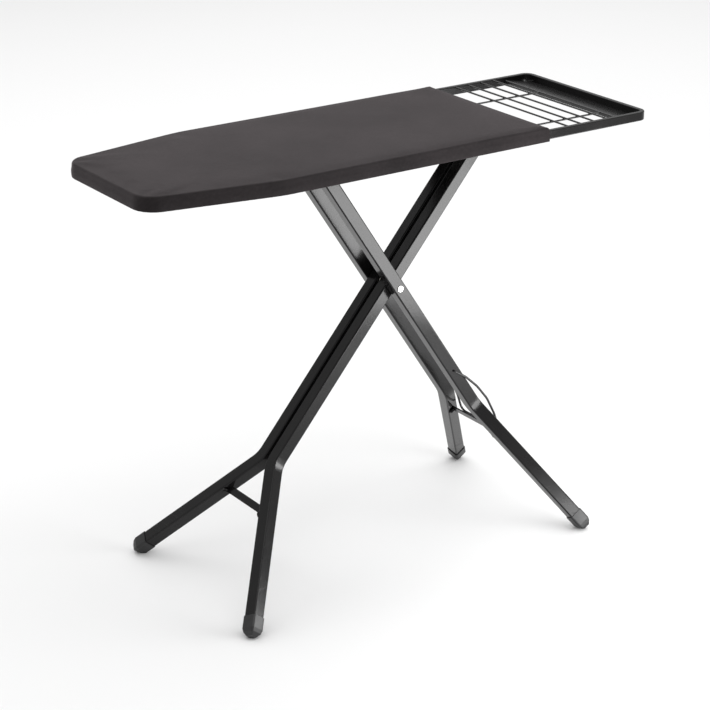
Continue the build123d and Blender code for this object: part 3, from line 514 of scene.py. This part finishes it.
class ClothGrid:
    """Quad mesh over the board: a top grid with rings that run down round its edge."""

    def __init__(self, plan: BoardPlan, columns: int) -> None:
        """Keep the plan and start empty.

        Args:
            plan: the board's plan.
            columns: number of points across the top.
        """
        self.plan, self.columns = plan, columns
        self.places: list[Vector] = []
        self.cloth: list[tuple[float, float]] = []
        self.faces: list[tuple[int, ...]] = []

    def add(self, place: Sequence[float], cloth: tuple[float, float]) -> int:
        """Add a point and its place on the flat cloth; return its number."""
        self.places.append(Vector(place))
        self.cloth.append(cloth)
        return len(self.places) - 1

    def strip(self, first: Sequence[int], second: Sequence[int]) -> None:
        """Join two rows of the same number of points with quads."""
        for a, b, c, d in zip(first, first[1:], second[1:], second):
            if len({a, b, c, d}) == 4:
                self.faces.append((a, b, c, d))

    def top(self, sides: list[Vector], heights: Callable[[int, float], float]) -> list[list[int]]:
        """Rows across the board from the rear to the nose.

        Args:
            sides: points of the +Y side, one per row.
            heights: gives the height for a row's number and the share across, -1 to 1.

        Returns:
            The point numbers, row by row, from +Y to -Y.
        """
        rows = []
        for number, edge in enumerate(sides):
            row = []
            for column in range(self.columns):
                share = 1 - 2 * column / (self.columns - 1)
                y = edge.y * share
                row.append(self.add((edge.x, y, heights(number, share)), (edge.x, y)))
            rows.append(row)
        for first, second in zip(rows, rows[1:]):
            self.strip(first, second)
        return rows

    @staticmethod
    def border(rows: list[list[int]]) -> list[int]:
        """Border of the top from the rear +Y corner round the nose to the rear -Y corner."""
        left = [row[0] for row in rows[:-1]]
        right = [row[-1] for row in reversed(rows[:-1])]
        return left + rows[-1] + right

    def ring(self, sides: list[Vector], height: Callable[[int, float], float],
             travelled: float) -> list[int]:
        """A line of points round the nose, level with the border.

        Args:
            sides: points of the +Y side for this ring's inset.
            height: gives the height for a place along the ring and that side's x.
            travelled: length of cloth from the border to this ring.

        Returns:
            The point numbers, in the border's order.
        """
        front = sides[-1]
        across = [Vector((front.x, front.y * (1 - 2 * c / (self.columns - 1))))
                  for c in range(self.columns)]
        plan = sides[:-1] + across + [Vector((p.x, -p.y)) for p in reversed(sides[:-1])]
        made = []
        for number, point in enumerate(plan):
            if number < len(sides) - 1:
                cloth = (point.x, point.y + travelled)
            elif number < len(sides) - 1 + self.columns:
                cloth = (point.x - travelled, point.y)
            else:
                cloth = (point.x, point.y - travelled)
            made.append(self.add((*point, height(number, point.x)), cloth))
        return made

    def mesh(self, name: str) -> bpy.types.Object:
        """Turn the points and faces into an object with its cloth map."""
        data = bpy.data.meshes.new(name)
        data.from_pydata(self.places, [], self.faces)
        layer = data.uv_layers.new(name="cloth")
        for loop in data.loops:
            layer.data[loop.index].uv = self.cloth[loop.vertex_index]
        data.update()
        made = bpy.data.objects.new(name, data)
        bpy.context.scene.collection.objects.link(made)
        return made


def outward(made: bpy.types.Object) -> None:
    """Make an object's faces point outwards."""
    work = bmesh.new()
    work.from_mesh(made.data)
    bmesh.ops.recalc_face_normals(work, faces=work.faces)
    work.to_mesh(made.data)
    work.free()


def smooth(made: bpy.types.Object) -> None:
    """Shade an object's faces smooth."""
    made.data.polygons.foreach_set("use_smooth", [True] * len(made.data.polygons))


def plain(made: bpy.types.Object) -> bpy.types.Object:
    """Replace an object's mesh with its evaluated one and drop its modifiers."""
    graph = bpy.context.evaluated_depsgraph_get()
    data = bpy.data.meshes.new_from_object(made.evaluated_get(graph),
                                           preserve_all_data_layers=True, depsgraph=graph)
    made.modifiers.clear()
    made.data = data
    return made


def dress(made: bpy.types.Object, material: bpy.types.Material) -> None:
    """Give an object one material."""
    made.data.materials.clear()
    made.data.materials.append(material)
    for polygon in made.data.polygons:
        polygon.material_index = 0


# ---------------------------------------------------------------- cover and pad
@dataclass
class SoftTop:
    """Felt pad and the fabric cover that is stretched over it."""

    plan: BoardPlan
    columns: int = 47
    edge_radius: float = 0.005
    edge_steps: int = 4
    swell: float = 0.0016
    start_lower: float = 0.0009
    cloth_thickness: float = 0.0013
    hem_width: float = 0.026
    fold_radius: float = 0.0026
    gather: float = 0.0006
    gather_length: float = 0.021
    rear_room: float = 0.0005
    pressure: float = 4.0
    frames: int = 20
    pad_round: float = 0.004
    pad_columns: int = 37

    def edge_profile(self) -> list[tuple[float, float]]:
        """Inset and drop of each ring from the top's border to the hem's end."""
        low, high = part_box("cover")
        deep = high.z - low.z
        quarter = [math.pi / 2 * step / self.edge_steps for step in range(1, self.edge_steps + 1)]
        radius, fold = self.edge_radius, self.fold_radius
        rings = [(radius * (1 - math.sin(a)), radius * (1 - math.cos(a))) for a in quarter]
        sag = [(0.25, 0.35), (0.5, 0.5), (0.75, 0.3)]
        rings += [(-0.0010 * out, radius + (deep - radius - fold) * share)
                  for share, out in sag]
        rings += [(fold * (1 - math.cos(a)), deep - fold + fold * math.sin(a))
                  for a in (0.0, *quarter[1::2])]
        steps = 5
        rings += [(fold + (self.hem_width - fold) * step / steps, deep)
                  for step in range(1, steps + 1)]
        return rings

    def rear_rows(self) -> list[tuple[float, float]]:
        """Distance from the rear end and drop of the rows that round the rear edge."""
        quarter = [math.pi / 2 * step / self.edge_steps for step in range(self.edge_steps, 0, -1)]
        return [(self.edge_radius * (1 - math.sin(a)), self.edge_radius * (1 - math.cos(a)))
                for a in quarter]

    def side_line(self, inset: float) -> list[Vector]:
        """One side for an inset, with the rear edge's rows in front."""
        rear = [Vector((self.plan.rear_x - back, self.plan.half - inset))
                for back, _ in self.rear_rows()]
        return rear + self.plan.side(inset, self.plan.rear_x - self.edge_radius)

    def cover_grid(self) -> tuple[bpy.types.Object, list[int], float]:
        """Build the open cloth surface of the cover.

        Returns:
            The object, the numbers of its held points and the length of cloth from the top's border to
            the hem's end.
        """
        low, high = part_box("cover")
        grid = ClothGrid(self.plan, self.columns)
        rear = [drop for _, drop in self.rear_rows()]
        base = high.z - self.start_lower

        def rear_drop(number: int, count: int) -> float:
            """Drop at a row or ring place near the rear end."""
            row = min(number, count - 1 - number)
            return rear[row] if row < len(rear) else 0.0

        line = self.side_line(self.edge_radius)
        rows = grid.top(line, lambda number, share: base - rear_drop(number, 10 ** 6))
        last = grid.border(rows)
        profile = self.edge_profile()
        travelled, before = 0.0, (self.edge_radius, 0.0)
        held: list[int] = []
        count = len(last)
        for inset, drop in profile:
            travelled += math.dist(before, (inset, drop))
            before = (inset, drop)
            hem = drop >= high.z - low.z - 1e-9

            def height(number: int, x: float, drop: float = drop, hem: bool = hem) -> float:
                """Height of one ring point."""
                down = max(drop, rear_drop(number, count))
                lift = self.start_lower * max(0.0, 1 - drop / (high.z - low.z))
                wave = math.sin(2 * math.pi * number * 0.0095 / self.gather_length)
                return high.z - lift - down + (self.gather * (wave + 1) if hem else 0.0)

            ring = grid.ring(self.side_line(inset), height, travelled)
            grid.strip(last, ring)
            last = ring
            if drop > (high.z - low.z) * 0.45:
                held += ring
        held += self.rear_curtain(grid, rows[0], base - rear[0])
        made = grid.mesh("board_cover")
        return made, sorted(set(held)), travelled

    def rear_curtain(self, grid: ClothGrid, row: list[int], top: float) -> list[int]:
        """Hang the cover's rear edge down to the rest's wires.

        Args:
            grid: the cover's grid.
            row: the top's last row at the rear.
            top: that row's height.

        Returns:
            Numbers of the added points.
        """
        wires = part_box("rest_long_wires")[1].z + self.rear_room
        tube_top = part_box("rest_frame")[1].z + self.rear_room
        tube_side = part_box("rear_bar")[1].y - self.cloth_thickness
        added, last = [], row
        steps = 3
        for step in range(1, steps + 1):
            line = []
            for number in row:
                place = grid.places[number]
                bottom = wires if abs(place.y) < tube_side else tube_top
                z = top + (bottom - top) * step / steps
                line.append(grid.add((place.x, place.y, z), (place.x + top - z, place.y)))
            grid.strip(last, line)
            last = line
            added += line
        return added

    def inflate(self, made: bpy.types.Object, held: list[int]) -> None:
        """Let the cloth swell over the pad, then cap how far each point moved.

        Args:
            made: the cover's object.
            held: points that stay where they are.
        """
        rest = np.array([v.co for v in made.data.vertices])
        group = made.vertex_groups.new(name="held")
        group.add(held, 1.0, "REPLACE")
        cloth = made.modifiers.new("swell", "CLOTH")
        settings = cloth.settings
        settings.quality = 5
        settings.mass = 0.3
        settings.tension_stiffness = settings.compression_stiffness = 15
        settings.bending_stiffness = 2.0
        settings.use_pressure = True
        settings.uniform_pressure_force = self.pressure
        settings.vertex_group_mass = "held"
        settings.effector_weights.gravity = 0.0
        cloth.collision_settings.use_collision = False
        cloth.collision_settings.use_self_collision = False
        scene = bpy.context.scene
        for number in range(1, self.frames + 1):
            scene.frame_set(number)
        plain(made)
        scene.frame_set(1)
        made.vertex_groups.clear()
        moved = np.array([v.co for v in made.data.vertices]) - rest
        length = np.linalg.norm(moved, axis=1)
        cap = self.swell * np.tanh(length / self.swell)
        share = np.divide(cap, length, out=np.zeros_like(length), where=length > 1e-9)
        made.data.vertices.foreach_set("co", (rest + moved * share[:, None]).ravel())
        made.data.update()

    def make_cover(self) -> bpy.types.Object:
        made, held, _ = self.cover_grid()
        outward(made)
        self.face_up(made)
        self.inflate(made, held)
        finer = made.modifiers.new("finer", "SUBSURF")
        finer.levels = finer.render_levels = 1
        wall = made.modifiers.new("wall", "SOLIDIFY")
        wall.thickness, wall.offset = self.cloth_thickness, -1.0
        plain(made)
        smooth(made)
        dress(made, ClothFinish("black_cotton", (0.0080, 0.0064, 0.0069),
                                (0.030, 0.0250, 0.0262)).make())
        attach(made, "board")
        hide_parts("cover")
        width = 2 * (self.plan.half + self.hem_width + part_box("cover")[1].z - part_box("cover")[0].z)
        length = self.plan.rear_x - self.plan.nose_x + width / 2 - self.plan.half + 0.014
        return made

    @staticmethod
    def face_up(made: bpy.types.Object) -> None:
        """Turn an open cloth over if its top faces down."""
        top = max(made.data.polygons, key=lambda polygon: polygon.center.z)
        if top.normal.z < 0:
            made.data.flip_normals()

    def make_pad(self) -> bpy.types.Object:
        """Build the felt pad as a closed, softly edged form."""
        low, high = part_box("felt_pad")
        inset = self.plan.half - high.y
        grid = ClothGrid(self.plan, self.pad_columns)
        rounding = [math.pi / 2 * step / 3 for step in range(1, 4)]
        line = self.plan.side(inset + self.pad_round, high.x - self.pad_round)
        rows = grid.top(line, lambda number, share: high.z - 0.0002)
        last = grid.border(rows) + rows[0][-2:0:-1]
        profile = [(self.pad_round * (1 - math.sin(a)), self.pad_round * (1 - math.cos(a)))
                   for a in rounding] + [(0.0, high.z - low.z)]
        for back, drop in profile:
            side = self.plan.side(inset + back, high.x - back)
            ring = grid.ring(side, lambda number, x, drop=drop: high.z - 0.0002 - drop, 0.0)
            first = grid.places[ring[0]]
            for column in range(self.pad_columns - 2, 0, -1):
                share = 1 - 2 * column / (self.pad_columns - 1)
                ring.append(grid.add((first.x, first.y * share, first.z), (first.x, first.y)))
            grid.strip(last + last[:1], ring + ring[:1])
            last = ring
        under = self.plan.side(inset, high.x)
        floor = grid.top(under, lambda number, share: low.z)
        loop = grid.border(floor) + floor[0][-2:0:-1]
        grid.strip(last + last[:1], loop + loop[:1])
        made = grid.mesh("ironing_pad")
        work = bmesh.new()
        work.from_mesh(made.data)
        bmesh.ops.remove_doubles(work, verts=work.verts, dist=0.00005)
        work.to_mesh(made.data)
        work.free()
        outward(made)
        smooth(made)
        dress(made, FeltFinish().make())
        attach(made, "board")
        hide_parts("felt_pad")
        return made


# ---------------------------------------------------------------- repeated details
class RepeatTree:
    """Geometry node group that sets one shape on every point of a line of points."""

    def __init__(self, name: str) -> None:
        """Start the group with its geometry sockets.

        Args:
            name: the group's name.
        """
        self.group = bpy.data.node_groups.new(name, "GeometryNodeTree")
        self.faces = self.group.interface
        self.faces.new_socket("Geometry", in_out="INPUT", socket_type="NodeSocketGeometry")
        self.sockets: dict[str, str] = {}
        self.start = self.group.nodes.new("NodeGroupInput")
        self.finish = self.group.nodes.new("NodeGroupOutput")

    def size(self, name: str, value: float) -> None:
        """Add a named size with its value."""
        socket = self.faces.new_socket(name, in_out="INPUT", socket_type="NodeSocketFloat")
        socket.default_value = value
        self.sockets[name] = socket.identifier

    def node(self, kind: str, settings: dict[str, Any], sockets: dict[Any, Any]) -> Any:
        """Make one node.

        Args:
            kind: the node's Blender type.
            settings: its properties.
            sockets: values or output sockets by input name or number.

        Returns:
            The node.
        """
        made = self.group.nodes.new(kind)
        for key, value in settings.items():
            setattr(made, key, value)
        for key, value in sockets.items():
            if isinstance(value, bpy.types.NodeSocket):
                self.group.links.new(value, made.inputs[key])
            else:
                made.inputs[key].default_value = value
        return made

    def close(self, shape: bpy.types.NodeSocket, points: bpy.types.NodeSocket,
              turn: bpy.types.NodeSocket, material: bpy.types.Material) -> None:
        """Put the shape on the points, make it real and give it its material.

        Args:
            shape: the geometry to repeat.
            points: where it goes.
            turn: its rotation at each point.
            material: its finish.
        """
        self.faces.new_socket("Geometry", in_out="OUTPUT", socket_type="NodeSocketGeometry")
        spread = self.node("GeometryNodeInstanceOnPoints", {},
                           {"Points": points, "Instance": shape, "Rotation": turn})
        real = self.node("GeometryNodeRealizeInstances", {}, {0: spread.outputs[0]})
        smooth_all = self.node("GeometryNodeSetShadeSmooth", {}, {0: real.outputs[0]})
        done = self.node("GeometryNodeSetMaterial", {},
                         {"Geometry": smooth_all.outputs[0], "Material": material})
        self.group.links.new(done.outputs[0], self.finish.inputs[0])

    def apply(self, made: bpy.types.Object, values: dict[str, float]) -> bpy.types.Object:
        """Run the group on an object and keep the result as a plain mesh."""
        change = made.modifiers.new(self.group.name, "NODES")
        change.node_group = self.group
        for name, value in values.items():
            change[self.sockets[name]] = value
        return plain(made)


def point_line(name: str, places: Sequence[Sequence[float]],
               turns: Sequence[Sequence[float]]) -> bpy.types.Object:
    """Loose points with a rotation each, for a repeat tree to stand shapes on.

    Args:
        name: the object's name.
        places: the points.
        turns: XYZ rotations in radians.

    Returns:
        The object.
    """
    data = bpy.data.meshes.new(name)
    data.from_pydata([tuple(place) for place in places], [], [])
    attribute = data.attributes.new("turn", "FLOAT_VECTOR", "POINT")
    for number, turn in enumerate(turns):
        attribute.data[number].vector = turn
    made = bpy.data.objects.new(name, data)
    bpy.context.scene.collection.objects.link(made)
    return made


@dataclass
class HemStitches:
    """Row of stitches that closes the cover's drawstring channel."""

    plan: BoardPlan
    inset: float = 0.0185
    pitch: float = 0.0052
    length: float = 0.0036
    radius: float = 0.00042
    below: float = 0.0002

    def line(self) -> list[Vector]:
        """Evenly spaced points of the seam in plan."""
        side = self.plan.side(self.inset, self.plan.rear_x - 0.004)
        whole = side + [Vector((p.x, -p.y)) for p in reversed(side)]
        lengths = [0.0]
        for first, second in zip(whole, whole[1:]):
            lengths.append(lengths[-1] + (second - first).length)
        count = int(lengths[-1] / self.pitch)
        xs = np.interp(np.linspace(0, lengths[-1], count), lengths, [p.x for p in whole])
        ys = np.interp(np.linspace(0, lengths[-1], count), lengths, [p.y for p in whole])
        return [Vector((x, y)) for x, y in zip(xs, ys)]

    def make(self) -> bpy.types.Object:
        """Build the stitches as one piece."""
        plan = self.line()
        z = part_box("cover")[0].z + self.below
        places, turns = [], []
        for first, second in zip(plan, plan[1:]):
            way = second - first
            places.append((first.x, first.y, z))
            turns.append((0.0, math.pi / 2, math.atan2(way.y, way.x)))
        thread = ClothThread().make()
        tree = RepeatTree("stitch_row")
        tree.size("Radius", self.radius)
        tree.size("Length", self.length)
        turn = tree.node("GeometryNodeInputNamedAttribute", {"data_type": "FLOAT_VECTOR"},
                         {"Name": "turn"})
        stitch = tree.node("GeometryNodeMeshCylinder", {}, {
            "Vertices": 6, "Radius": tree.start.outputs["Radius"],
            "Depth": tree.start.outputs["Length"]})
        tree.close(stitch.outputs["Mesh"], tree.start.outputs["Geometry"],
                   turn.outputs[0], thread)
        made = tree.apply(point_line("hem_stitches", places, turns),
                          {"Radius": self.radius, "Length": self.length})
        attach(made, "board")
        return made


@dataclass(frozen=True)
class ClothThread:
    """Twisted black sewing thread."""

    name: str = "sewing_thread"
    colour: Point = (0.035, 0.033, 0.034)

    def make(self) -> bpy.types.Material:
        """Build the material."""
        tree = FinishTree(self.name)
        twist = tree.noise(2600.0, 1.0)
        light = tuple(part * 2.2 for part in self.colour)
        tree.feed(Base_Color=tree.mix(twist, self.colour, light), Roughness=0.7,
                  Normal=tree.bump(twist, 0.0001), Sheen_Weight=0.2)
        return tree.material


@dataclass
class WireWelds:
    """Small weld beads where the rest's wires meet its tubes and each other."""

    bead: float = 0.0021
    flat: float = 0.62

    def places(self) -> list[Point]:
        """Weld places worked out from the wires' boxes."""
        low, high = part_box("rest_cross_wires")
        wire_z = (low.z + high.z) / 2
        first, last = low.x + 0.002, high.x - 0.002
        count = 4
        xs = [first + (last - first) * number / (count - 1) for number in range(count)]
        found = [(x, side * (high.y - 0.0006), wire_z) for x in xs for side in (1, -1)]
        long_low, long_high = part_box("rest_long_wires")
        for y in (long_high.y - 0.002, long_low.y + 0.002):
            found += [(x, y, (low.z + long_high.z) / 2) for x in xs]
        return found

    def make(self, finish: bpy.types.Material) -> bpy.types.Object:
        """Build the beads as one piece."""
        places = self.places()
        tree = RepeatTree("weld_beads")
        tree.size("Radius", self.bead)
        turn = tree.node("GeometryNodeInputNamedAttribute", {"data_type": "FLOAT_VECTOR"},
                         {"Name": "turn"})
        ball = tree.node("GeometryNodeMeshIcoSphere", {}, {
            "Radius": tree.start.outputs["Radius"], "Subdivisions": 2})
        shape = tree.node("GeometryNodeTransform", {}, {
            "Geometry": ball.outputs[0], "Scale": (1.0, 1.0, self.flat)})
        tree.close(shape.outputs[0], tree.start.outputs["Geometry"], turn.outputs[0], finish)
        made = tree.apply(point_line("wire_welds", places, [(0, 0, 0)] * len(places)),
                          {"Radius": self.bead})
        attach(made, "board")
        return made


# ---------------------------------------------------------------- carried nodes
class Hardware:
    """Finishes of the CAD nodes that are shown as they are."""

    ENAMEL = ("deck_rim", "rest_frame", "rear_bar", "deck_sheet", "hinge_bar", "rack_bar",
              "front_bar", "height_rack_left", "height_rack_right", "hinge_bracket_left",
              "hinge_bracket_right", "lever_bracket", "inner_leg_left", "inner_leg_right",
              "outer_leg_left", "outer_leg_right", "inner_brace", "outer_brace",
              "inner_brace_rivets", "outer_brace_rivets")
    WIRE = ("rest_cross_wires", "rest_long_wires", "transport_bail", "heel_plate")
    ZINC = ("rest_joiners", "bar_rivets", "lever_pin", "release_lever", "hinge_shaft",
            "hinge_clips", "slider_rod", "slider_clips")
    NYLON = ("hinge_washers", "pivot_spacer", "pivot_washers", "slider_rollers")
    CAPS = ("inner_foot_left", "inner_foot_right", "outer_foot_left", "outer_foot_right",
            "inner_top_plugs", "outer_top_plugs")

    def dress_all(self) -> bpy.types.Material:
        """Give every carried node its finish.

        Returns:
            The wires' finish, which the weld beads share.
        """
        wire = WireEnamelFinish().make()
        groups = [
            (self.ENAMEL, EnamelFinish().make()),
            (self.WIRE, wire),
            (self.ZINC, MetalFinish(Metal.ZINC).make()),
            (("lever_spring",), MetalFinish(Metal.SPRING).make()),
            (("pivot_rivet",), MetalFinish(Metal.RIVET).make()),
            (self.NYLON, PlasticFinish("natural_nylon", (0.62, 0.60, 0.55), 0.42).make()),
            (self.CAPS, PlasticFinish("black_cap_plastic", (0.011, 0.011, 0.0115), 0.42).make()),
            (("lever_grip",),
             PlasticFinish("grip_plastic", (0.014, 0.014, 0.015), 0.30, 700.0).make()),
        ]
        tape = ClothThread("hem_tape_weave", (0.03, 0.029, 0.03)).make()
        groups.append((("hem_tape",), tape))
        for names, material in groups:
            for name in names:
                dress(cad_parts[name], material)
            LOG.info("%s on %s", material.name, ", ".join(names))
        return wire


# ---------------------------------------------------------------- studio
@dataclass
class Studio:
    """Floor, lights and camera."""

    eye: Point = (-2.3667, -3.3951, 2.0869)
    yaw: float = 34.687
    pitch: float = 21.756
    lens: float = 107.79
    shift_y: float = -0.0012
    floor_size: float = 60.0
    floor_gap: float = 0.0004
    world_strength: float = 0.58

    def floor(self) -> None:
        """Make the pale floor."""
        work = bmesh.new()
        bmesh.ops.create_grid(work, x_segments=12, y_segments=12, size=self.floor_size / 2)
        data = bpy.data.meshes.new("floor")
        work.to_mesh(data)
        work.free()
        data.transform(Matrix.Translation((0, 0, -self.floor_gap)))
        made = bpy.data.objects.new("floor", data)
        bpy.context.scene.collection.objects.link(made)
        dress(made, FloorFinish().make())

    @staticmethod
    def softbox(name: str, place: Point, aim: Point, size: tuple[float, float],
                power: float) -> None:
        """Add one soft area light.

        Args:
            name: the light's name.
            place: where it is.
            aim: the point it faces.
            size: its width and height.
            power: its power in watts.
        """
        data = bpy.data.lights.new(name, "AREA")
        data.shape = "RECTANGLE"
        data.size, data.size_y = size
        data.energy = power
        lamp = bpy.data.objects.new(name, data)
        lamp.location = place
        facing = (Vector(aim) - Vector(place)).to_track_quat("-Z", "Y")
        lamp.rotation_euler = facing.to_euler()
        lamp.visible_camera = False
        bpy.context.scene.collection.objects.link(lamp)

    def lights(self) -> None:
        """Set the world and the softboxes."""
        world = bpy.data.worlds.new("studio")
        world.use_nodes = True
        background = world.node_tree.nodes["Background"]
        background.inputs["Color"].default_value = (1.0, 1.0, 1.0, 1.0)
        background.inputs["Strength"].default_value = self.world_strength
        bpy.context.scene.world = world
        self.softbox("overhead", (1.2, 1.2, 5.0), (1.2, 1.2, 0.0), (9.0, 9.0), 320.0)
        self.softbox("low_front", (0.75, -1.15, 0.28), (0.0, -0.05, 0.65), (1.1, 0.45), 20.0)

    def camera(self) -> None:
        """Set the camera."""
        yaw, pitch = math.radians(self.yaw), math.radians(self.pitch)
        facing = Vector((math.sin(yaw) * math.cos(pitch), math.cos(yaw) * math.cos(pitch),
                         -math.sin(pitch)))
        data = bpy.data.cameras.new("camera")
        data.lens, data.shift_y = self.lens, self.shift_y
        data.clip_end = 200.0
        made = bpy.data.objects.new("camera", data)
        made.location = self.eye
        made.rotation_euler = facing.to_track_quat("-Z", "Y").to_euler()
        bpy.context.scene.collection.objects.link(made)
        bpy.context.scene.camera = made
        bpy.context.scene.view_settings.view_transform = "Standard"


def main() -> None:
    """Build every piece in order and report it."""
    logging.basicConfig(level=logging.INFO, format="%(name)s: %(message)s")
    studio = Studio()
    studio.camera()
    studio.floor()
    studio.lights()
    wire = Hardware().dress_all()
    plan = BoardPlan()
    soft = SoftTop(plan)
    pieces = [soft.make_pad(), soft.make_cover(), HemStitches(plan).make(),
              WireWelds().make(wire)]
    for made in pieces:
        LOG.info("%s: %d faces", made.name, len(made.data.polygons))


if __name__ == "__main__":
    main()
